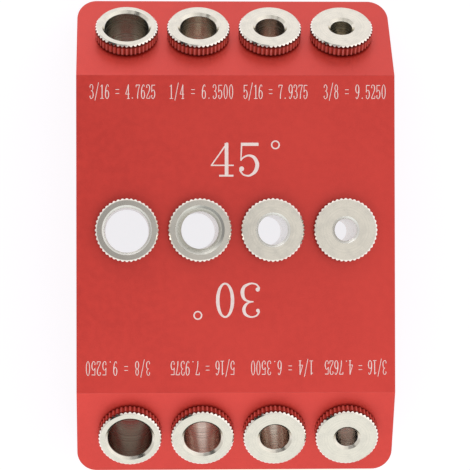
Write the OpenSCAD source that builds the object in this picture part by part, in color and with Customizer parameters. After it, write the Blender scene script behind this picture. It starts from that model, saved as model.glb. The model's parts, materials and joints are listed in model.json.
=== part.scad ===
// Angle drill guide: a block with a 45 degree end, a flat top and a 30 degree end.
// Each face carries a row of headed bushings that stand square to it.
// The origin is at the middle of the underside, +Y points to the 45 degree end and +Z up.

/* [Block] */
// Width of the block, along a row of bushings
block_w = 68; // [65:0.5:84]
// Length of the block, from end wall to end wall
block_l = 102.5; // [96:0.5:120]
// Thickness of the block under its flat top
block_h = 30; // [29.5:0.1:34]
// Radius of the four upright corners
corner_r = 4.2; // [2:0.1:6]
// Level run of the 45 degree face
steep_run = 17.6; // [16:0.1:19.5]
// Level run of the 30 degree face
shallow_run = 17.2; // [16:0.1:20]

/* [Rows] */
// Tilt of the 45 degree row from upright
steep_tilt = 45; // [43:0.5:46]
// Tilt of the 30 degree row from upright
shallow_tilt = 30; // [25:0.5:33]
// Distance of the 45 degree row from the fold above it, measured down its face
steep_row_down = 12.8; // [10:0.1:13.4]
// Distance of the 30 degree row from the fold above it, measured down its face
shallow_row_down = 9.8; // [8:0.1:11]
// Distance of the upright row from the middle of the block, towards the 45 degree end
upright_row_ahead = 0.6; // [-2:0.1:2]
// Distance of the 30 degree row from the middle of the block, towards +X
shallow_row_aside = 0.6; // [-1:0.1:1]
// Spacing of the bushings along a row
bushing_pitch = 15.5; // [14.2:0.1:16]

/* [Bushings] */
// Diameter of a knurled head over its teeth
head_d = 13.5; // [13:0.1:14]
// Thickness of a head
head_t = 3; // [2:0.1:4]
// Outer diameter of the sleeve under a head
sleeve_d = 11.5; // [11.2:0.1:11.9]
// Length of the sleeve under a head
sleeve_l = 23; // [18:0.1:23.5]
// Bore for a 3/8 inch drill
bore_3_8_d = 9.525; // [9:0.005:9.8]
// Bore for a 5/16 inch drill
bore_5_16_d = 7.9375; // [7:0.0005:8.5]
// Bore for a 1/4 inch drill
bore_1_4_d = 6.35; // [6:0.005:7]
// Bore for a 3/16 inch drill
bore_3_16_d = 4.7625; // [4:0.0005:5]
// Bevel round the top of a head
head_bevel = 0.4; // [0.3:0.05:0.7]
// Bevel that leads a drill into the bore
mouth_bevel = 0.55; // [0.3:0.05:0.8]
// The same bevel on the upright 5/16 inch bushing, where it is cut wider
wide_mouth_bevel = 1.3; // [0.8:0.05:1.6]
// Bevel where a bore leaves the lower end of its sleeve
exit_bevel = 0.25; // [0.1:0.05:0.5]
// Bevel round the lower end of a sleeve
lead_bevel = 0.5; // [0.2:0.05:0.7]

/* [Knurl] */
// Number of teeth round a head
knurl_teeth = 44; // [36:1:54]
// Depth of the grooves between the teeth
knurl_depth = 0.26; // [0.2:0.01:0.4]
// Width of the flat crest of a tooth
knurl_crest = 0.22; // [0.1:0.01:0.3]

/* [Fits] */
// Radial clearance of a sleeve in its hole
slip_clearance = 0.02; // [0.01:0.005:0.05]
// Bevel at both ends of a hole in the block
hole_bevel = 0.25; // [0.1:0.05:0.3]

/* [Hidden] */
$fn = 96;

// Overrun of every cut past the face it starts from
overrun = 1;
// Bevel under a head, round the foot of the teeth
foot_bevel = 0.3;
// Relief cut into the top of a sleeve, so that the head seats flat
neck_w = 0.8;
neck_depth = 0.12;

// Bores of a row from -X to +X
BORES = [bore_3_8_d, bore_5_16_d, bore_1_4_d, bore_3_16_d];
columns = len(BORES);

// Edges of the flat top, where the sloping faces begin
steep_fold_y = block_l / 2 - steep_run;
shallow_fold_y = -(block_l / 2 - shallow_run);

hole_r = sleeve_d / 2 + slip_clearance;

// A row is its tilt about X, then the X, Y and Z of its middle on the face
STEEP_ROW = [
  -steep_tilt,
  0,
  steep_fold_y + steep_row_down * cos(steep_tilt),
  block_h - steep_row_down * sin(steep_tilt),
];
UPRIGHT_ROW = [0, 0, upright_row_ahead, block_h];
SHALLOW_ROW = [
  shallow_tilt,
  shallow_row_aside,
  shallow_fold_y - shallow_row_down * cos(shallow_tilt),
  block_h - shallow_row_down * sin(shallow_tilt),
];

// Place of a bushing along its row
function column_x(row, column) = row[1] + (column - (columns - 1) / 2) * bushing_pitch;

// Length of a hole's axis from the face to the underside
function hole_depth(row) = row[3] / cos(row[0]);

// Puts a bushing's frame on its face: origin at the seat of the head, +Z out of the block
module at_seat(row, column) {
  translate([column_x(row, column), row[2], row[3]])
    rotate([row[0], 0, 0])
      children();
}

// Plan of the block with round corners
module block_plan() {
  inner_w = block_w - 2 * corner_r;
  inner_l = block_l - 2 * corner_r;
  square([inner_w, block_l], center = true);
  square([block_w, inner_l], center = true);
  for (side_x = [-1, 1], side_y = [-1, 1])
    translate([side_x * inner_w / 2, side_y * inner_l / 2])
      circle(r = corner_r);
}

// Side view of the block, drawn with Y to the right and Z up
module block_profile() {
  polygon([
    [-block_l / 2, 0],
    [block_l / 2, 0],
    [block_l / 2, block_h - steep_run * tan(steep_tilt)],
    [steep_fold_y, block_h],
    [shallow_fold_y, block_h],
    [-block_l / 2, block_h - shallow_run * tan(shallow_tilt)],
  ]);
}

// One through hole with a bevelled mouth under the head
module bushing_hole(row) {
  depth = hole_depth(row);
  reach = hole_r * abs(tan(row[0])) + overrun;
  translate([0, 0, -depth - reach])
    cylinder(r = hole_r, h = depth + reach + overrun);
  translate([0, 0, -hole_bevel])
    cylinder(r1 = hole_r, r2 = hole_r + hole_bevel + overrun, h = hole_bevel + overrun);
}

// The upright holes also have a bevel where they leave the underside
module upright_exit_bevels() {
  for (column = [0 : columns - 1])
    translate([column_x(UPRIGHT_ROW, column), UPRIGHT_ROW[2], -overrun])
      cylinder(r1 = hole_r + hole_bevel + overrun, r2 = hole_r, h = hole_bevel + overrun);
}

module guide_block() {
  color("firebrick")
    difference() {
      intersection() {
        linear_extrude(height = block_h)
          block_plan();
        translate([-block_w / 2, 0, 0])
          rotate([90, 0, 90])
            linear_extrude(height = block_w)
              block_profile();
      }
      for (row = [STEEP_ROW, UPRIGHT_ROW, SHALLOW_ROW], column = [0 : columns - 1])
        at_seat(row, column)
          bushing_hole(row);
      upright_exit_bevels();
    }
}

// Outline of the straight knurl: each tooth is the point of a groove and the two edges of a
// flat crest, each of them an angle from the middle of the crest and a distance from the axis
module knurl_outline() {
  half_pitch = 180 / knurl_teeth;
  half_crest = asin(knurl_crest / head_d);
  crest_r = head_d / 2;
  TOOTH = [
    [-half_pitch, crest_r - knurl_depth],
    [-half_crest, crest_r],
    [half_crest, crest_r],
  ];
  polygon([
    for (tooth = [0 : knurl_teeth - 1], corner = TOOTH)
      let (turn = 2 * half_pitch * tooth + corner[0])
        corner[1] * [cos(turn), sin(turn)]
  ]);
}

// Half section of a head without its teeth: the bevels cut the crests back at both edges
module head_section() {
  r = head_d / 2;
  polygon([
    [0, 0],
    [r - foot_bevel, 0],
    [r, foot_bevel],
    [r, head_t - head_bevel],
    [r - head_bevel, head_t],
    [0, head_t],
  ]);
}

// Half section of a sleeve with its relief at the top and its lead bevel below
module sleeve_section() {
  r = sleeve_d / 2;
  polygon([
    [0, -sleeve_l],
    [r - lead_bevel, -sleeve_l],
    [r, -sleeve_l + lead_bevel],
    [r, -neck_w],
    [r - neck_depth, -neck_w],
    [r - neck_depth, 0],
    [0, 0],
  ]);
}

// Half section of the bore with a bevel at both ends
module bore_section(bore_d, mouth) {
  r = bore_d / 2;
  polygon([
    [0, -sleeve_l - overrun],
    [r + exit_bevel + overrun, -sleeve_l - overrun],
    [r, -sleeve_l + exit_bevel],
    [r, head_t - mouth],
    [r + mouth + overrun, head_t + overrun],
    [0, head_t + overrun],
  ]);
}

module bushing(bore_d, mouth) {
  difference() {
    union() {
      intersection() {
        linear_extrude(height = head_t)
          knurl_outline();
        rotate_extrude()
          head_section();
      }
      rotate_extrude()
        sleeve_section();
    }
    rotate_extrude()
      bore_section(bore_d, mouth);
  }
}

// A bushing in its place in the block
module seated_bushing(row, column, mouth = mouth_bevel) {
  color("gainsboro")
    at_seat(row, column)
      bushing(BORES[column], mouth);
}

guide_block();

seated_bushing(STEEP_ROW, 0);  // bushing_45deg_3_8in
seated_bushing(STEEP_ROW, 1);  // bushing_45deg_5_16in
seated_bushing(STEEP_ROW, 2);  // bushing_45deg_1_4in
seated_bushing(STEEP_ROW, 3);  // bushing_45deg_3_16in

seated_bushing(UPRIGHT_ROW, 0);  // bushing_90deg_3_8in
seated_bushing(UPRIGHT_ROW, 1, wide_mouth_bevel);  // bushing_90deg_5_16in
seated_bushing(UPRIGHT_ROW, 2);  // bushing_90deg_1_4in
seated_bushing(UPRIGHT_ROW, 3);  // bushing_90deg_3_16in

seated_bushing(SHALLOW_ROW, 0);  // bushing_30deg_3_8in
seated_bushing(SHALLOW_ROW, 1);  // bushing_30deg_5_16in
seated_bushing(SHALLOW_ROW, 2);  // bushing_30deg_1_4in
seated_bushing(SHALLOW_ROW, 3);  // bushing_30deg_3_16in
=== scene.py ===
"""Looks of an angle drill guide: a red anodised block with a 45 degree end, a flat top and a 30 degree end, and
twelve knurled steel bushings. All places are in metres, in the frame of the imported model: +X along a row towards
the narrowest bore, +Y towards the 45 degree end, +Z up, the origin under the middle of the block."""

import functools
import json
import math

import bmesh
import bpy
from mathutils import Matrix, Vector
from mathutils.geometry import delaunay_2d_cdt


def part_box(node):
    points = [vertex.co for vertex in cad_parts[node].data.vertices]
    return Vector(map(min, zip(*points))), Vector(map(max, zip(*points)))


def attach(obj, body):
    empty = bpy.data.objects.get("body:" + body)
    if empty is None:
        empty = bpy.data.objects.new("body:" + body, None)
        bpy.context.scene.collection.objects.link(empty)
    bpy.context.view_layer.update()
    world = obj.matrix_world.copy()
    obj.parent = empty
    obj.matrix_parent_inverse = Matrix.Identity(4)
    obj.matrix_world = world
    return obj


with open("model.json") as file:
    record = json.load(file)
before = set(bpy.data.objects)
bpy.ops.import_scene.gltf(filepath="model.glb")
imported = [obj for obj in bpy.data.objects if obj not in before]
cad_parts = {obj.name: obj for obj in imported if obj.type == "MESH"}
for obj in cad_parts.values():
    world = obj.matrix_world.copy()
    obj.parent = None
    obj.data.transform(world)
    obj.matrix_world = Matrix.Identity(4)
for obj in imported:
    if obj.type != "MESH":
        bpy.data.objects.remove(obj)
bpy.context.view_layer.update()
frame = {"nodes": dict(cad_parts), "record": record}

MM = 0.001
# Height of the block's flat top
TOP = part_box("guide_block")[1].z

# Camera, fitted to the edges, folds and heads of the photograph
CAMERA_PLACE = Vector((-22.811, -4.714, 550.0)) * MM
CAMERA_TURN = (0.0083, -0.0434, -0.0018)
CAMERA_LENS = 186.97
CAMERA_CLIP = (0.01, 20.0)
SENSOR = 36.0

# Light from all round. A strength of 1 shows a white thing as white.
ZENITH = 0.86
HORIZON = 0.985
# Heights between which the light goes from that of the horizon to that of the zenith
SKY_SPAN = (0.2, 0.97)
RIGHT_GAIN = 0.05
SIDE_LOSS = 0.25
# Places towards -Y between which the light of the front comes in, what it adds, and its tint
FRONT_SPAN = (-0.2, -0.9)
FRONT_GAIN = 0.045
FRONT_TINT = (1.0, 1.03, 1.03)
# Broad glow: the way to its middle, cosine where it ends, strength
GLOW_WAY = (0.85, 0.05, 0.52)
GLOW_END = 0.62
GLOW_GAIN = 0.36
# Dark things at the camera, which the steel reflects and no view shows: name, middle and radius in
# millimetres, and brightness to the left and to the right of the places between which it changes
DARK_CARDS = (
    ("dark_camera", (-118.0, -5.0, 500.0), 147.0, 0.38, 0.59),
    ("dark_stand", (-231.0, 56.0, 258.0), 95.0, 0.03, 0.03),
)
DARK_CHANGE = (-19.0, -12.0)
CARD_SIDES = 64
# Soft lamps: name, place and side in millimetres, radiance
LAMPS = (
    ("softbox_back", (-120.0, 330.0, 180.0), 200.0, 1.75),
    ("softbox_front", (-50.0, -260.0, 370.0), 280.0, 1.45),
)

# Floor: its side, its gap under the block, and the share of its look that is plain white background
FLOOR_SIDE = 4.0
FLOOR_GAP = 0.05 * MM
FLOOR_GLOW = 0.78
FLOOR_COLOUR = (0.92, 0.92, 0.93)
WHITE_COLOUR = (1.0, 1.0, 1.03)
WHITE_STRENGTH = 1.07

# Edges of the block
EDGE_ROUND = 0.22 * MM
EDGE_STEPS = 2
SHARP_ANGLE = math.radians(14)
WELD_DISTANCE = 0.002 * MM

# Noise of the materials: scale in a metre, and detail
NOISE = {
    "clouds": (60.0, 3.0),
    "mottle": (700.0, 2.0),
    "grain": (3600.0, 2.0),
    "patches": (420.0, 3.0),
    "specks": (2400.0, 2.0),
    "turned": (3200.0, 3.0),
    "reamed": (1500.0, 3.0),
    "lines": (9000.0, 1.0),
    "passes": (5200.0, 1.0),
    "mark_clouds": (900.0, 2.0),
}
# Parts of a noise's range that a blend follows
MIDDLE = (0.3, 0.7)
UPPER = (0.35, 0.7)
UPPER_WIDE = (0.35, 0.75)
GRAIN_SPAN = (0.25, 0.75)
LINE_SPAN = (0.45, 0.62)

# Anodising: tint and paler tint on the faces, and a darker pair on the edges as painted shade along them;
# roughness of both
FACE_TINTS = ((0.58, 0.018, 0.008), (0.70, 0.036, 0.020))
EDGE_SHADE_TINTS = ((0.40, 0.022, 0.016), (0.50, 0.045, 0.035))
FACE_ROUGH = 0.42
EDGE_ROUGH = 0.40

# Colours of the plated steel, with painted shade, highlights and reflections among them. The knurl of the upright
# row is painted darker still, as shade.
STEEL_COLOURS = {
    "bright": (0.81, 0.755, 0.655),
    "grey": (0.73, 0.685, 0.60),
    "turned": (0.62, 0.60, 0.53),
    # Knurl and groove: painted shade, tinted red as a painted reflection of the block
    "knurl": (0.60, 0.44, 0.39),
    "groove": (0.50, 0.24, 0.18),
    # Painted shade: the darker knurl and grooves of the upright row
    "upright_knurl_shade": (0.30, 0.16, 0.12),
    "upright_groove_shade": (0.16, 0.06, 0.04),
    # Painted highlight on the crests of the teeth
    "crest": (0.86, 0.80, 0.74),
    # Painted shadow where the head meets the block
    "foot": (0.15, 0.04, 0.03),
    # Painted highlights on the tips and rim, the rim tinted pink as a painted reflection of the block
    "tip_highlight": (0.99, 0.93, 0.87),
    "rim": (1.0, 0.90, 0.82),
    # Painted shade at the top of the grooves
    "groove_top_shade": (0.12, 0.05, 0.03),
    # Painted highlights on the mouths of the upright row
    "upright_mouth_highlight": (0.90, 0.88, 0.83),
    "wide_mouth_highlight": (0.88, 0.86, 0.79),
    "wide_lines": (0.60, 0.58, 0.52),
    # Painted shade: the dark crescent on the wide mouth
    "shaded_crescent": (0.40, 0.39, 0.36),
}
# Roughness of the steel: from, to
PLATE_ROUGH = (0.11, 0.17)
BORE_ROUGH = (0.16, 0.30)
KNURL_ROUGH = 0.28
MOUTH_ROUGH = 0.18
# Depth of the turned rings, of the reaming rings and of the specks, in millimetres
RING_DEPTH = 0.0005
REAMING_DEPTH = 0.0045
SPECK_DEPTH = 0.0006

# Zones of a bushing: each limit is a measure, where the zone begins and where it is whole, in millimetres.
# "in" goes in from the crests of the teeth, "out" goes out from the bore's wall, "down" goes down from the top,
# and "behind" is in and down together.
KNURL_LIMITS = (("in", 0.50, 0.35), ("down", 0.30, 0.45))
TIP_LIMITS = (("in", 0.36, 0.20), ("down", 0.55, 0.42))
ZONES = {
    "face": (("down", 0.10, 0.04),),
    "knurl": KNURL_LIMITS,
    "groove": (*KNURL_LIMITS, ("in", 0.02, 0.14)),
    "crest": (*KNURL_LIMITS, ("in", 0.05, 0.01)),
    "foot": (*KNURL_LIMITS, ("down", 2.35, 2.80)),
    "tip_highlight": TIP_LIMITS,
    "rim": (*TIP_LIMITS, ("in", 0.18, 0.10)),
    "groove_top_shade": (("behind", 0.42, 0.48), ("in", 0.36, 0.32), ("down", 1.1, 0.6)),
    "mouth": (("down", 0.01, 0.05), ("down", 1.75, 1.55), ("out", 1.55, 1.45), ("out", 0.03, 0.10)),
    "bore": (("out", 0.10, 0.03),),
}

# Colour of each bore's wall where it is clean, by bushing. How light or dark it is from bushing to bushing is
# partly painted light and shade inside the bore.
BORE_TONES_AND_SHADING = {
    "bushing_45deg_3_8in": (0.71, 0.69, 0.62),
    "bushing_45deg_5_16in": (0.97, 0.95, 0.86),
    "bushing_45deg_1_4in": (0.95, 0.87, 0.79),
    "bushing_45deg_3_16in": (1.0, 0.95, 0.84),
    "bushing_90deg_3_8in": (0.85, 0.79, 0.73),
    "bushing_90deg_5_16in": (0.85, 0.79, 0.73),
    "bushing_90deg_1_4in": (0.93, 0.90, 0.86),
    "bushing_90deg_3_16in": (0.90, 0.84, 0.78),
    "bushing_30deg_3_8in": (0.45, 0.39, 0.33),
    "bushing_30deg_5_16in": (0.95, 0.86, 0.79),
    "bushing_30deg_1_4in": (0.93, 0.89, 0.81),
    "bushing_30deg_3_16in": (0.85, 0.79, 0.73),
}
# The share of it that is left where a wall is stained, and the one bushing that is clean
BORE_STAIN = 0.82
CLEAN_BORE = "bushing_45deg_3_16in"
# Bushings whose bores are painted darker and browner at their sides than in the middle, as shade, and how much so.
# Then the share of the clean colour that is left there, and where it begins and is whole, in shares of the way out
# to a side.
SHADED_BORE_SIDES = {"bushing_30deg_5_16in": 1.0, "bushing_30deg_1_4in": 0.9, "bushing_45deg_5_16in": 0.4}
BORE_SIDE_SHADE_SHARE = (0.60, 0.46, 0.42)
BORE_SIDE_SHADE_SPAN = (0.50, 0.80)

# The bushing whose mouth is cut wider, the strength of the turned lines there, and its crescent of painted shade:
# the way to its middle across the face, the cosines between which it fades, and its distance out of the bore
WIDE_MOUTH = "bushing_90deg_5_16in"
WIDE_LINES = 0.32
CRESCENT_WAY = (0.87, 0.50, 0.0)
CRESCENT_TURN = (0.15, 0.75)
CRESCENT_OUT = (0.55, 0.85)
# How far the shading of a mouth leans to the bushing's axis, as its lips are not sharp
LIP_LEAN = {"45deg": 0.05, "90deg": 0.02, "30deg": 0.10}

# Colours of the marks: pale, duller and where the red shows through, and their roughness
MARK_COLOURS = ((0.81, 0.69, 0.66), (0.76, 0.62, 0.59), (0.78, 0.58, 0.54))
MARK_ROUGH = (0.5, 0.62)
# How far the marks stand out of the flat top and reach into it
MARK_RISE = 0.02 * MM
MARK_ROOT = 0.02 * MM
# Distance in millimetres at which corners of a mark are joined, and the least doubled area of its triangles
JOIN_DISTANCE = 0.0005
LEAST_AREA = 1e-9
# What the triangulation gives back: triangles inside the pieces alone
INSIDE_ONLY = 1
# Steps of a curve between two of its points, sides of a disc, and sides of the disc at a bend
BIG_STEPS = (6, 28, 14)
SMALL_STEPS = (3, 12, 8)

# Marks on the flat top, in millimetres. Big digits: text, left end, foot and height, turned half round or not.
BIG_DIGITS = (
    ("4", -5.37, 12.03, 7.37, False),
    ("5", 0.60, 12.02, 7.35, False),
    ("3", 5.20, -10.60, 7.50, True),
    ("0", -0.40, -10.60, 7.50, True),
)
# Degree rings: middle and outer diameter
DEGREE_RINGS = ((8.45, 18.80, 1.90), (-8.18, -17.55, 1.90))
DEGREE_STROKE = 0.29
# Size labels: text, left end and right end. Then their feet, their height, the width of a digit, the weight of
# the strokes as a share of that in GLYPHS, and the least half width of a stroke.
STEEP_LABELS = (
    ("3/16 = 4.7625", -31.25, -17.05),
    ("1/4 = 6.3500", -14.36, -0.42),
    ("5/16 = 7.9375", 1.57, 15.46),
    ("3/8 = 9.5250", 18.68, 32.22),
)
SHALLOW_LABELS = (
    ("3/8 = 9.5250", -32.14, -18.22),
    ("5/16 = 7.9375", -14.09, -0.28),
    ("1/4 = 6.3500", 3.02, 16.62),
    ("3/16 = 4.7625", 18.81, 32.21),
)
STEEP_LABEL_FOOT = 28.58
SHALLOW_LABEL_FOOT = -27.22
LABEL_HEIGHT = 3.12
LABEL_DIGIT_W = 0.86
LABEL_WEIGHT = 0.52
LABEL_LEAST = 0.062


class Nodes:
    """Builds the node tree of one material or of the world."""

    def __init__(self, owner):
        owner.use_nodes = True
        self.tree = owner.node_tree
        self.tree.nodes.clear()

    def add(self, kind, inputs=None, **settings):
        node = self.tree.nodes.new(kind)
        for name, value in settings.items():
            setattr(node, name, value)
        for key, value in (inputs or {}).items():
            if isinstance(value, bpy.types.NodeSocket):
                self.tree.links.new(value, node.inputs[key])
            else:
                node.inputs[key].default_value = value
        return node

    def math(self, operation, a, b=0.0):
        return self.add("ShaderNodeMath", {0: a, 1: b}, operation=operation).outputs[0]

    def product(self, *shares):
        return functools.reduce(functools.partial(self.math, "MULTIPLY"), shares)

    def vector(self, operation, a, b=(0.0, 0.0, 0.0)):
        second = "Scale" if operation == "SCALE" else 1
        node = self.add("ShaderNodeVectorMath", {0: a, second: b}, operation=operation)
        return node.outputs["Value" if operation in ("LENGTH", "DOT_PRODUCT") else "Vector"]

    def noise(self, where, scale, detail):
        """Noise from 0 to 1 at points, or along one number."""
        key, dimensions = ("W", "1D") if where.type == "VALUE" else ("Vector", "3D")
        inputs = {key: where, "Scale": scale, "Detail": detail}
        return self.add("ShaderNodeTexNoise", inputs, noise_dimensions=dimensions).outputs["Fac"]

    def spread(self, value, low, high, to_low=0.0, to_high=1.0):
        """Carries low..high over to to_low..to_high, clamped and eased."""
        return self.add(
            "ShaderNodeMapRange",
            {"Value": value, "From Min": low, "From Max": high, "To Min": to_low, "To Max": to_high},
            interpolation_type="SMOOTHSTEP",
        ).outputs["Result"]

    def blend(self, share, a, b):
        """A number or a colour between a and b."""
        if isinstance(a, (int, float)) or getattr(a, "type", "") == "VALUE":
            node = self.add("ShaderNodeMix", {0: share, 2: a, 3: b}, data_type="FLOAT")
            return node.outputs[0]
        node = self.add("ShaderNodeMix", {0: share, 6: a, 7: b}, data_type="RGBA")
        return node.outputs[2]

    def bump(self, height, distance, strength=1.0, normal=None):
        inputs = {"Height": height, "Distance": distance, "Strength": strength}
        if normal is not None:
            inputs["Normal"] = normal
        return self.add("ShaderNodeBump", inputs).outputs["Normal"]

    def finish(self, shader):
        self.add("ShaderNodeOutputMaterial", {"Surface": shader})


def colour(r, g, b):
    return (r, g, b, 1.0)


def anodised_nodes(name, tints, roughness):
    """Red anodising over a bead-blasted surface: fine grain and faint clouds."""
    material = bpy.data.materials.new(name)
    g = Nodes(material)
    tint, pale = (colour(*rgb) for rgb in tints)
    where = g.add("ShaderNodeTexCoord").outputs["Object"]
    clouds, mottle, grain = (g.noise(where, *NOISE[kind]) for kind in ("clouds", "mottle", "grain"))
    base = g.blend(g.spread(clouds, *MIDDLE, 0.0, 0.35), tint, pale)
    base = g.blend(g.spread(mottle, *UPPER, 0.0, 0.25), base, pale)
    base = g.blend(g.spread(grain, *GRAIN_SPAN, 0.0, 0.3), base, pale)
    shader = g.add("ShaderNodeBsdfPrincipled", {
        "Base Color": base,
        "Metallic": 0.7,
        "Roughness": g.blend(g.spread(mottle, *MIDDLE), roughness - 0.04, roughness + 0.05),
        "Normal": g.bump(grain, 0.03 * MM, 0.35),
        "Coat Weight": 0.5,
        "Coat Roughness": 0.36,
        "Coat IOR": 1.7,
    })
    g.finish(shader.outputs["BSDF"])
    return material


def block_material():
    return anodised_nodes("red_anodised_blasted", FACE_TINTS, FACE_ROUGH)


def shaded_edge_material():
    """The rounded edges of the block, painted darker than its faces as shade along the edges."""
    return anodised_nodes("red_anodised_shaded_edge", EDGE_SHADE_TINTS, EDGE_ROUGH)


class Places:
    """Where a point lies on one bushing, as outputs of nodes. seat is the middle of the head's top, and axis is
    its way out of the block."""

    def __init__(self, g, seat, axis, head_r, bore_r):
        self.g = g
        where = g.add("ShaderNodeTexCoord").outputs["Object"]
        turn = Vector((0, 0, 1)).rotation_difference(axis).to_euler()
        inputs = {"Vector": where, "Location": seat, "Rotation": turn}
        self.local = g.add("ShaderNodeMapping", inputs, vector_type="TEXTURE").outputs["Vector"]
        self.height = g.add("ShaderNodeSeparateXYZ", {"Vector": self.local}).outputs["Z"]
        self.flat = g.vector("MULTIPLY", self.local, (1.0, 1.0, 0.0))
        self.radius = g.vector("LENGTH", self.flat)
        inwards = g.math("SUBTRACT", head_r, self.radius)
        down = g.math("MULTIPLY", self.height, -1.0)
        self.measures = {
            "in": inwards,
            "down": down,
            "behind": g.math("ADD", inwards, down),
            "out": g.math("SUBTRACT", self.radius, bore_r),
        }
        self.zones = {name: self.share(*limits) for name, limits in ZONES.items()}

    def share(self, *limits):
        """How far a point is inside all the limits, from 0 to 1."""
        spread = self.g.spread
        return self.g.product(*(spread(self.measures[way], low * MM, high * MM) for way, low, high in limits))

    def cosine(self, way):
        """Cosine between a way across the face and the way from the axis to the point."""
        return self.g.vector("DOT_PRODUCT", self.g.vector("NORMALIZE", self.flat), way)


def bushing_look(name):
    """What sets one bushing apart from the others."""
    row = name.split("_")[1]
    return {
        "tone": BORE_TONES_AND_SHADING[name],
        "stain": 1.0 if name == CLEAN_BORE else BORE_STAIN,
        "side_shade": SHADED_BORE_SIDES.get(name, 0.0),
        "lean": LIP_LEAN[row],
        "upright": row == "90deg",
        "wide": name == WIDE_MOUTH,
    }


def knurl_colour(g, at, upright, base):
    """Painted shade between the teeth and under the head, a painted red reflection of the block on the knurl, and
    painted highlights on the crests, tips and rim.
    """
    paints = {name: name for name in ("knurl", "groove", "crest", "foot", "tip_highlight", "rim", "groove_top_shade")}
    # The upright row takes a darker painted shade on its knurl
    if upright:
        paints.update(knurl="upright_knurl_shade", groove="upright_groove_shade")
    for zone, paint in paints.items():
        base = g.blend(at.zones[zone], base, colour(*STEEL_COLOURS[paint]))
    return base


def mouth_colour(g, at, upright, wide, base):
    """A painted highlight on the mouth of an upright bushing. A wide one shows its turning, and a crescent of
    painted shade.
    """
    mouth = at.zones["mouth"]
    # Painted highlight: a brighter mouth on the upright row
    if upright:
        base = g.blend(mouth, base, colour(*STEEL_COLOURS["wide_mouth_highlight" if wide else "upright_mouth_highlight"]))
    if wide:
        lines = g.spread(g.noise(at.radius, *NOISE["lines"]), *LINE_SPAN, 0.0, WIDE_LINES)
        base = g.blend(g.product(mouth, lines), base, colour(*STEEL_COLOURS["wide_lines"]))
        # Painted shade: a dark crescent on the mouth, standing in for a dark reflection
        turn = g.spread(at.cosine(CRESCENT_WAY), *CRESCENT_TURN)
        shaded_crescent = g.product(turn, at.share(("out", *CRESCENT_OUT)))
        base = g.blend(g.product(mouth, shaded_crescent), base, colour(*STEEL_COLOURS["shaded_crescent"]))
    return base


def bore_colour(g, at, reamed, look):
    """The wall of a bore: clean and stained rings in a tone that is partly painted light and shade, and painted
    shade at its sides where the bushing has it.
    """
    tone = look["tone"]
    base = g.blend(g.spread(reamed, *MIDDLE), colour(*tone), colour(*(look["stain"] * c for c in tone)))
    # Painted shade at the sides of the bore
    if look["side_shade"]:
        aside = g.math("ABSOLUTE", at.cosine((1.0, 0.0, 0.0)))
        sides = colour(*(c * share for c, share in zip(tone, BORE_SIDE_SHADE_SHARE)))
        base = g.blend(g.spread(aside, *BORE_SIDE_SHADE_SPAN, 0.0, look["side_shade"]), base, sides)
    return base


def steel_material(name, seat, axis, head_r, bore_r, look):
    """Plated steel of one bushing: turned rings on its face, reaming marks in its bore, and painted shade,
    highlights and reflections on its knurl, mouth and bore.
    """
    material = bpy.data.materials.new(name)
    g = Nodes(material)
    at = Places(g, seat, axis, head_r, bore_r)
    patches = g.noise(at.local, *NOISE["patches"])
    specks = g.noise(at.local, *NOISE["specks"])
    turned = g.noise(at.radius, *NOISE["turned"])
    reamed = g.noise(at.height, *NOISE["reamed"])

    bright, grey, rings = (colour(*STEEL_COLOURS[kind]) for kind in ("bright", "grey", "turned"))
    base = g.blend(g.spread(patches, *UPPER), bright, grey)
    base = g.blend(g.product(at.zones["face"], g.spread(turned, *UPPER_WIDE, 0.0, 0.2)), base, rings)
    base = knurl_colour(g, at, look["upright"], base)
    base = mouth_colour(g, at, look["upright"], look["wide"], base)
    base = g.blend(at.zones["bore"], base, bore_colour(g, at, reamed, look))

    rough = g.blend(g.spread(patches, *MIDDLE), *PLATE_ROUGH)
    rough = g.blend(at.zones["knurl"], rough, KNURL_ROUGH)
    rough = g.blend(at.zones["mouth"], rough, MOUTH_ROUGH)
    rough = g.blend(at.zones["bore"], rough, g.blend(g.spread(reamed, *MIDDLE), *BORE_ROUGH))

    surface = g.add("ShaderNodeNewGeometry").outputs["Normal"]
    leaning = g.vector("SCALE", axis, g.product(at.zones["mouth"], look["lean"]))
    normal = g.vector("NORMALIZE", g.vector("ADD", surface, leaning))
    normal = g.bump(g.product(at.zones["face"], turned), RING_DEPTH * MM, normal=normal)
    normal = g.bump(g.product(at.zones["bore"], reamed), REAMING_DEPTH * MM, normal=normal)
    normal = g.bump(specks, SPECK_DEPTH * MM, normal=normal)
    shader = g.add("ShaderNodeBsdfPrincipled", {
        "Base Color": base, "Metallic": 1.0, "Roughness": rough, "Normal": normal,
    })
    g.finish(shader.outputs["BSDF"])
    return material


def mark_material():
    """Pale laser mark in the anodising, slightly uneven where the beam went over it."""
    material = bpy.data.materials.new("pale_laser_mark")
    g = Nodes(material)
    where = g.add("ShaderNodeTexCoord").outputs["Object"]
    passes = g.noise(where, *NOISE["passes"])
    clouds = g.noise(where, *NOISE["mark_clouds"])
    pale, dull, pink = (colour(*rgb) for rgb in MARK_COLOURS)
    base = g.blend(g.spread(clouds, *UPPER), pale, dull)
    base = g.blend(g.spread(passes, *UPPER_WIDE, 0.0, 0.4), base, pink)
    shader = g.add("ShaderNodeBsdfPrincipled", {
        "Base Color": base,
        "Metallic": 0.0,
        "Roughness": g.spread(clouds, *MIDDLE, *MARK_ROUGH),
        "Normal": g.bump(passes, 0.008 * MM, 0.4),
    })
    g.finish(shader.outputs["BSDF"])
    return material


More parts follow.
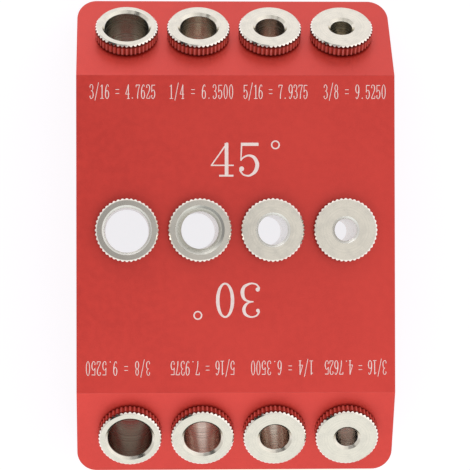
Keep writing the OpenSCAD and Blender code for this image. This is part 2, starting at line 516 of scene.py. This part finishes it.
def dress_block():
    """Gives the block its anodising and breaks its edges, which are painted darker than its faces as shade."""
    block = frame["nodes"]["guide_block"]
    block.material_slots[0].material = block_material()
    block.data.materials.append(shaded_edge_material())
    weld = block.modifiers.new("weld", "WELD")
    weld.merge_threshold = WELD_DISTANCE
    bevel = block.modifiers.new("edge_round", "BEVEL")
    bevel.limit_method = "ANGLE"
    bevel.angle_limit = SHARP_ANGLE
    bevel.width = EDGE_ROUND
    bevel.segments = EDGE_STEPS
    bevel.use_clamp_overlap = True
    # The rounded edges take the darker material: painted shade along them
    bevel.material = 1
    bevel.harden_normals = False
    flatten = block.modifiers.new("flat_faces", "WEIGHTED_NORMAL")
    flatten.weight = 100
    flatten.keep_sharp = False


def dress_bushings():
    """Gives each bushing its own steel, laid round the axis and bore that the record states."""
    for mount in frame["record"]["mounts"]:
        if mount["kind"] != "bore":
            continue
        name = mount["name"].replace("bore_", "bushing_")
        bushing = frame["nodes"][name]
        axis, middle = Vector(mount["axis"]).normalized(), Vector(mount["pos_m"])
        along = [(v.co - middle).dot(axis) for v in bushing.data.vertices]
        out = max(along)
        head_r = max((v.co - middle - axis * a).length for v, a in zip(bushing.data.vertices, along))
        bushing.material_slots[0].material = steel_material(
            name.replace("bushing", "plated_steel"), middle + axis * out, axis, head_r,
            mount["dims"]["r_mm"] * MM, bushing_look(name),
        )


# Digits of a plain serif kind, in shares of their height from the lower left corner. w is the width. A stroke
# is a smooth line through points (x, y, half width), a disc is (x, y, radius), and a ring is (x, y, half width,
# half height, wall aside, wall above).
GLYPHS = {
    "0": {"w": 0.52, "rings": [(0.26, 0.5, 0.26, 0.5, 0.10, 0.052)]},
    "1": {
        "w": 0.46,
        "strokes": [
            [(0.25, 0.03, 0.055), (0.25, 0.97, 0.055)],
            [(0.27, 0.97, 0.03), (0.17, 0.885, 0.024), (0.06, 0.86, 0.02)],
            [(0.05, 0.032, 0.032), (0.45, 0.032, 0.032)],
        ],
    },
    "2": {
        "w": 0.55,
        "strokes": [
            [
                (0.045, 0.80, 0.03), (0.10, 0.925, 0.028), (0.27, 0.972, 0.028), (0.43, 0.90, 0.05),
                (0.485, 0.73, 0.057), (0.41, 0.53, 0.045), (0.20, 0.28, 0.03), (0.05, 0.08, 0.028),
            ],
            [(0.04, 0.042, 0.042), (0.50, 0.042, 0.042)],
            [(0.50, 0.05, 0.022), (0.525, 0.22, 0.02)],
        ],
        "discs": [(0.10, 0.785, 0.062)],
    },
    "3": {
        "w": 0.585,
        "strokes": [
            [
                (0.035, 0.82, 0.026), (0.11, 0.935, 0.022), (0.27, 0.977, 0.023), (0.42, 0.91, 0.038),
                (0.474, 0.773, 0.047), (0.43, 0.645, 0.038), (0.33, 0.565, 0.022), (0.20, 0.543, 0.016),
            ],
            [
                (0.20, 0.543, 0.016), (0.36, 0.525, 0.024), (0.475, 0.44, 0.042), (0.515, 0.265, 0.055),
                (0.455, 0.11, 0.042), (0.27, 0.024, 0.024), (0.11, 0.058, 0.022), (0.030, 0.17, 0.026),
            ],
        ],
        "discs": [(0.075, 0.795, 0.051), (0.080, 0.195, 0.059)],
    },
    "4": {
        "w": 0.667,
        "strokes": [
            [(0.016, 0.322, 0.019), (0.25, 0.65, 0.019), (0.484, 0.985, 0.021)],
            [(0.002, 0.325, 0.019), (0.668, 0.325, 0.019)],
            [(0.458, 0.0, 0.053), (0.458, 0.972, 0.053)],
            [(0.240, 0.026, 0.026), (0.656, 0.026, 0.026)],
        ],
    },
    "5": {
        "w": 0.61,
        "strokes": [
            [(0.063, 0.938, 0.046), (0.576, 0.938, 0.046)],
            [(0.086, 0.96, 0.020), (0.064, 0.46, 0.018)],
            [
                (0.060, 0.475, 0.018), (0.16, 0.572, 0.022), (0.31, 0.612, 0.030), (0.455, 0.545, 0.047),
                (0.538, 0.36, 0.056), (0.49, 0.17, 0.052), (0.375, 0.058, 0.034), (0.27, 0.025, 0.025),
                (0.13, 0.062, 0.022), (0.03, 0.19, 0.024),
            ],
        ],
        "discs": [(0.085, 0.225, 0.070)],
    },
    "6": {
        "w": 0.55,
        "rings": [(0.275, 0.30, 0.275, 0.30, 0.11, 0.055)],
        "strokes": [
            [
                (0.058, 0.33, 0.055), (0.085, 0.62, 0.055), (0.19, 0.86, 0.042), (0.33, 0.972, 0.027),
                (0.455, 0.915, 0.024),
            ],
        ],
        "discs": [(0.45, 0.87, 0.056)],
    },
    "7": {
        "w": 0.55,
        "strokes": [
            [(0.04, 0.95, 0.045), (0.52, 0.95, 0.045)],
            [(0.045, 0.97, 0.022), (0.03, 0.80, 0.02)],
            [(0.515, 0.95, 0.024), (0.35, 0.62, 0.034), (0.25, 0.28, 0.05), (0.235, 0.02, 0.056)],
        ],
    },
    "8": {
        "w": 0.55,
        "rings": [(0.275, 0.755, 0.225, 0.245, 0.085, 0.05), (0.275, 0.285, 0.27, 0.285, 0.105, 0.055)],
    },
    "9": {
        "w": 0.55,
        "rings": [(0.275, 0.70, 0.275, 0.30, 0.11, 0.055)],
        "strokes": [
            [
                (0.492, 0.67, 0.055), (0.465, 0.38, 0.055), (0.36, 0.14, 0.042), (0.22, 0.028, 0.027),
                (0.095, 0.085, 0.024),
            ],
        ],
        "discs": [(0.10, 0.13, 0.056)],
    },
    "/": {"w": 0.55, "strokes": [[(0.03, -0.10, 0.028), (0.52, 1.12, 0.028)]]},
    "=": {
        "w": 0.62,
        "strokes": [[(0.03, 0.37, 0.034), (0.59, 0.37, 0.034)], [(0.03, 0.64, 0.034), (0.59, 0.64, 0.034)]],
    },
    ".": {"w": 0.55, "discs": [(0.22, 0.06, 0.075)]},
}


def smooth_line(points, steps):
    """Points (x, y, half width) with more laid between them on a smooth curve."""
    if len(points) < 3:
        return list(points)
    ends = [points[0], *points, points[-1]]
    line = []
    for a, b, c, d in zip(ends, ends[1:], ends[2:], ends[3:]):
        for step in range(steps):
            t = step / steps
            line.append(tuple(
                q + 0.5 * t * (r - p + t * (2 * p - 5 * q + 4 * r - s + t * (3 * q - p - 3 * r + s)))
                for p, q, r, s in zip(a, b, c, d)
            ))
    line.append(points[-1])
    return line


def disc(x, y, r, sides):
    turns = (2 * math.pi * i / sides for i in range(sides))
    return [(x + r * math.cos(a), y + r * math.sin(a)) for a in turns]


def ribbon(line, sides):
    """Four-sided pieces along a line, with a disc at each bend to fill the notches. Its ends are square."""
    pieces = []
    for (x0, y0, w0), (x1, y1, w1) in zip(line, line[1:]):
        away = Vector((y0 - y1, x1 - x0)).normalized()
        pieces.append([
            (x0 - away.x * w0, y0 - away.y * w0), (x1 - away.x * w1, y1 - away.y * w1),
            (x1 + away.x * w1, y1 + away.y * w1), (x0 + away.x * w0, y0 + away.y * w0),
        ])
    for x, y, w in line[1:-1]:
        pieces.append(disc(x, y, w, sides))
    return pieces


def ring(x, y, rx, ry, wall_x, wall_y, sides):
    """Four-sided pieces round an upright ellipse whose wall is thick at its sides and thin above and below."""
    turns = [2 * math.pi * i / sides for i in range(sides)]
    outer = [(x + rx * math.cos(a), y + ry * math.sin(a)) for a in turns]
    inner = [(x + (rx - wall_x) * math.cos(a), y + (ry - wall_y) * math.sin(a)) for a in turns]
    return [[outer[i - 1], outer[i], inner[i], inner[i - 1]] for i in range(len(turns))]


@functools.cache
def glyph(character, height, x_scale, weight, least, steps):
    """Points and triangles of one character, in millimetres from its lower left corner."""
    shape = GLYPHS[character]
    curve_steps, disc_sides, joint_sides = steps

    def sized(x, y, w):
        return (x * height * x_scale, y * height, max(w * height * weight, least))

    pieces = []
    for stroke in shape.get("strokes", ()):
        pieces += ribbon(smooth_line([sized(*p) for p in stroke], curve_steps), joint_sides)
    for spot in shape.get("discs", ()):
        pieces.append(disc(*sized(*spot), disc_sides))
    for x, y, rx, ry, *walls in shape.get("rings", ()):
        thick, thin = (max(wall * height * weight, 2 * least) for wall in walls)
        x, rx = x * height * x_scale, rx * height * x_scale
        pieces += ring(x, y * height, rx, ry * height, thick, thin, 2 * disc_sides)
    return flat_union(pieces)


def holds(piece, x, y):
    """Whether a convex piece, with its corners anticlockwise, holds a point."""
    edges = zip(piece, piece[1:] + piece[:1])
    return all((b[0] - a[0]) * (y - a[1]) >= (x - a[0]) * (b[1] - a[1]) for a, b in edges)


def flat_union(pieces):
    """Points and triangles of all the convex pieces together, with no overlap."""
    points, faces = [], []
    for i, piece in enumerate(pieces):
        if sum(a[0] * b[1] - b[0] * a[1] for a, b in zip(piece, piece[1:] + piece[:1])) < 0:
            pieces[i] = piece = piece[::-1]
        faces.append(list(range(len(points), len(points) + len(piece))))
        points += [Vector(p) for p in piece]
    corners, _, triangles, *_ = delaunay_2d_cdt(points, [], faces, INSIDE_ONLY, JOIN_DISTANCE)
    inside = set()
    for triangle in triangles:
        x, y = sum((corners[i] for i in triangle), Vector((0, 0))) / len(triangle)
        if any(holds(piece, x, y) for piece in pieces):
            inside.add(tuple(sorted(triangle)))
    return [tuple(p) for p in corners], sorted(inside)


def doubled_area(points, triangle):
    """Twice a triangle's area, below zero if its corners go clockwise."""
    (ax, ay), (bx, by), (cx, cy) = (points[i] for i in triangle)
    return (bx - ax) * (cy - ay) - (cx - ax) * (by - ay)


def prism(name, points, triangles, place):
    """A closed plate on the block's flat top. place carries a point in millimetres to its X and Y."""
    mesh = bpy.data.meshes.new(name)
    shape = bmesh.new()
    flat = [place(p) for p in points]
    triangles = [t for t in triangles if abs(doubled_area(flat, t)) > LEAST_AREA]
    upper = [shape.verts.new((x * MM, y * MM, TOP + MARK_RISE)) for x, y in flat]
    lower = [shape.verts.new((x * MM, y * MM, TOP - MARK_ROOT)) for x, y in flat]
    rim = {}
    for triangle in triangles:
        a, b, c = triangle if doubled_area(flat, triangle) > 0 else triangle[::-1]
        shape.faces.new([upper[a], upper[b], upper[c]])
        shape.faces.new([lower[c], lower[b], lower[a]])
        for side in ((a, b), (b, c), (c, a)):
            if rim.pop(side[::-1], None) is None:
                rim[side] = True
    for a, b in rim:
        shape.faces.new([upper[b], upper[a], lower[a], lower[b]])
    loose = [v for v in shape.verts if not v.link_faces]
    bmesh.ops.delete(shape, geom=loose, context="VERTS")
    shape.to_mesh(mesh)
    shape.free()
    piece = bpy.data.objects.new(name, mesh)
    bpy.context.scene.collection.objects.link(piece)
    return piece


def add_mark(name, shape, place, material):
    """Lays one mark, of points and triangles, on the block."""
    mark = prism(name, *shape, place)
    mark.data.materials.append(material)
    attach(mark, "block")


def mark_big_digits(material):
    for text, x, foot, height, turned in BIG_DIGITS:
        name = f"digit_{text}_of_{'30' if turned else '45'}"
        way = -1 if turned else 1
        shape = glyph(text, height, 1.0, 1.0, 0.0, BIG_STEPS)
        add_mark(name, shape, lambda p, x=x, foot=foot, way=way: (x + way * p[0], foot + way * p[1]), material)


def mark_degree_rings(material):
    for (x, y, outer_d), row in zip(DEGREE_RINGS, ("45", "30")):
        outer_r = outer_d / 2
        shape = flat_union(ring(x, y, outer_r, outer_r, DEGREE_STROKE, DEGREE_STROKE, 2 * BIG_STEPS[1]))
        add_mark(f"degree_ring_of_{row}", shape, lambda p: p, material)


def mark_label(name, text, left, right, foot, turned, material):
    """One size label: its characters share the width from left to right evenly."""
    slot = (right - left) / len(text)
    points, triangles = [], []
    for i, character in enumerate(text):
        if character == " ":
            continue
        x_scale = LABEL_DIGIT_W / (LABEL_HEIGHT * GLYPHS[character]["w"])
        start = (i + 0.5) * slot - LABEL_DIGIT_W / 2
        more, corners = glyph(character, LABEL_HEIGHT, x_scale, LABEL_WEIGHT, LABEL_LEAST, SMALL_STEPS)
        triangles += [tuple(len(points) + k for k in corner) for corner in corners]
        points += [(x + start, y) for x, y in more]
    if turned:
        add_mark(name, (points, triangles), lambda p: (right - p[0], foot - p[1]), material)
    else:
        add_mark(name, (points, triangles), lambda p: (left + p[0], foot + p[1]), material)


def mark_labels(material):
    for i, (text, left, right) in enumerate(STEEP_LABELS):
        mark_label(f"size_label_45_{i + 1}", text, left, right, STEEP_LABEL_FOOT, False, material)
    for i, (text, left, right) in enumerate(SHALLOW_LABELS):
        mark_label(f"size_label_30_{i + 1}", text, left, right, SHALLOW_LABEL_FOOT, True, material)


def floor_material():
    """Pale and matt for light, with plain white mixed in for the camera and for mirrored views of it. It is
    clear from below, so that the underside can be seen."""
    material = bpy.data.materials.new("pale_floor")
    g = Nodes(material)
    path = g.add("ShaderNodeLightPath").outputs
    mirrored = g.math("MAXIMUM", path["Is Glossy Ray"], path["Is Transmission Ray"])
    seen = g.math("MAXIMUM", path["Is Camera Ray"], mirrored)
    matt = g.add("ShaderNodeBsdfDiffuse", {"Color": colour(*FLOOR_COLOUR)}).outputs["BSDF"]
    glow = {"Color": colour(*WHITE_COLOUR), "Strength": WHITE_STRENGTH}
    white = g.add("ShaderNodeEmission", glow).outputs["Emission"]
    mixed = g.add("ShaderNodeMixShader", {0: g.product(seen, FLOOR_GLOW), 1: matt, 2: white}).outputs["Shader"]
    clear = g.add("ShaderNodeBsdfTransparent").outputs["BSDF"]
    below = g.add("ShaderNodeNewGeometry").outputs["Backfacing"]
    g.finish(g.add("ShaderNodeMixShader", {0: below, 1: mixed, 2: clear}).outputs["Shader"])
    return material


def add_floor():
    """A pale floor that shows as white background and keeps a soft shadow."""
    half = FLOOR_SIDE / 2
    corners = [(x, y, -FLOOR_GAP) for x, y in ((-half, -half), (half, -half), (half, half), (-half, half))]
    mesh = bpy.data.meshes.new("floor")
    mesh.from_pydata(corners, [], [(0, 1, 2, 3)])
    mesh.materials.append(floor_material())
    floor = bpy.data.objects.new("floor", mesh)
    bpy.context.scene.collection.objects.link(floor)


def light_world():
    """Soft light from all round, a little dimmer overhead. The camera sees plain white in its place."""
    world = bpy.data.worlds.new("studio")
    bpy.context.scene.world = world
    g = Nodes(world)
    way = g.add("ShaderNodeTexCoord").outputs["Generated"]
    parts = g.add("ShaderNodeSeparateXYZ", {"Vector": way}).outputs
    level = g.spread(parts["Z"], *SKY_SPAN, HORIZON, ZENITH)
    level = g.math("ADD", level, g.product(parts["X"], RIGHT_GAIN))
    level = g.math("SUBTRACT", level, g.product(parts["X"], parts["X"], SIDE_LOSS))
    front = g.spread(parts["Y"], *FRONT_SPAN)
    level = g.math("ADD", level, g.product(front, FRONT_GAIN))
    towards = g.vector("DOT_PRODUCT", way, Vector(GLOW_WAY).normalized())
    level = g.math("ADD", level, g.spread(towards, GLOW_END, 1.0, 0.0, GLOW_GAIN))
    seen = g.add("ShaderNodeLightPath").outputs["Is Camera Ray"]
    tinted = g.product(front, g.math("SUBTRACT", 1.0, seen))
    back = g.add("ShaderNodeBackground", {
        "Color": g.blend(tinted, colour(1.0, 1.0, 1.0), colour(*FRONT_TINT)),
        "Strength": g.blend(seen, level, 1.0),
    })
    g.add("ShaderNodeOutputWorld", {"Surface": back.outputs["Background"]})


def card_material(name, left, right):
    """Even dark glow that changes once from left to right."""
    material = bpy.data.materials.new(name)
    g = Nodes(material)
    where = g.add("ShaderNodeNewGeometry").outputs["Position"]
    aside = g.add("ShaderNodeSeparateXYZ", {"Vector": where}).outputs["X"]
    level = g.spread(aside, DARK_CHANGE[0] * MM, DARK_CHANGE[1] * MM, left, right)
    glow = {"Color": colour(*WHITE_COLOUR), "Strength": level}
    g.finish(g.add("ShaderNodeEmission", glow).outputs["Emission"])
    return material


def face_block(piece, place):
    """Puts a card or lamp in its place, turned to the middle of the block's top."""
    piece.location = Vector(place) * MM
    piece.rotation_euler = (Vector((0, 0, TOP)) - piece.location).to_track_quat("-Z", "Y").to_euler()


def add_dark_cards():
    """The dark discs that only reflections show."""
    for name, place, radius, left, right in DARK_CARDS:
        shape = bmesh.new()
        bmesh.ops.create_circle(shape, cap_ends=True, radius=radius * MM, segments=CARD_SIDES)
        mesh = bpy.data.meshes.new(name)
        shape.to_mesh(mesh)
        shape.free()
        mesh.materials.append(card_material(name, left, right))
        card = bpy.data.objects.new(name, mesh)
        bpy.context.scene.collection.objects.link(card)
        face_block(card, place)
        card.visible_camera = False


def add_lamps():
    """Broad soft lamps behind and before the guide, so that its faces differ as in the photograph."""
    for name, place, side, radiance in LAMPS:
        data = bpy.data.lights.new(name, "AREA")
        data.shape = "SQUARE"
        data.size = side * MM
        data.energy = math.pi * data.size ** 2 * radiance
        lamp = bpy.data.objects.new(name, data)
        bpy.context.scene.collection.objects.link(lamp)
        face_block(lamp, place)


def add_camera():
    data = bpy.data.cameras.new("camera")
    data.sensor_width = SENSOR
    data.lens = CAMERA_LENS
    data.clip_start, data.clip_end = CAMERA_CLIP
    camera = bpy.data.objects.new("camera", data)
    bpy.context.scene.collection.objects.link(camera)
    camera.location = CAMERA_PLACE
    camera.rotation_euler = CAMERA_TURN
    bpy.context.scene.camera = camera


bpy.context.scene.view_settings.view_transform = "Standard"
dress_block()
dress_bushings()
laser_mark = mark_material()
mark_big_digits(laser_mark)
mark_degree_rings(laser_mark)
mark_labels(laser_mark)
add_floor()
light_world()
add_dark_cards()
add_lamps()
add_camera()
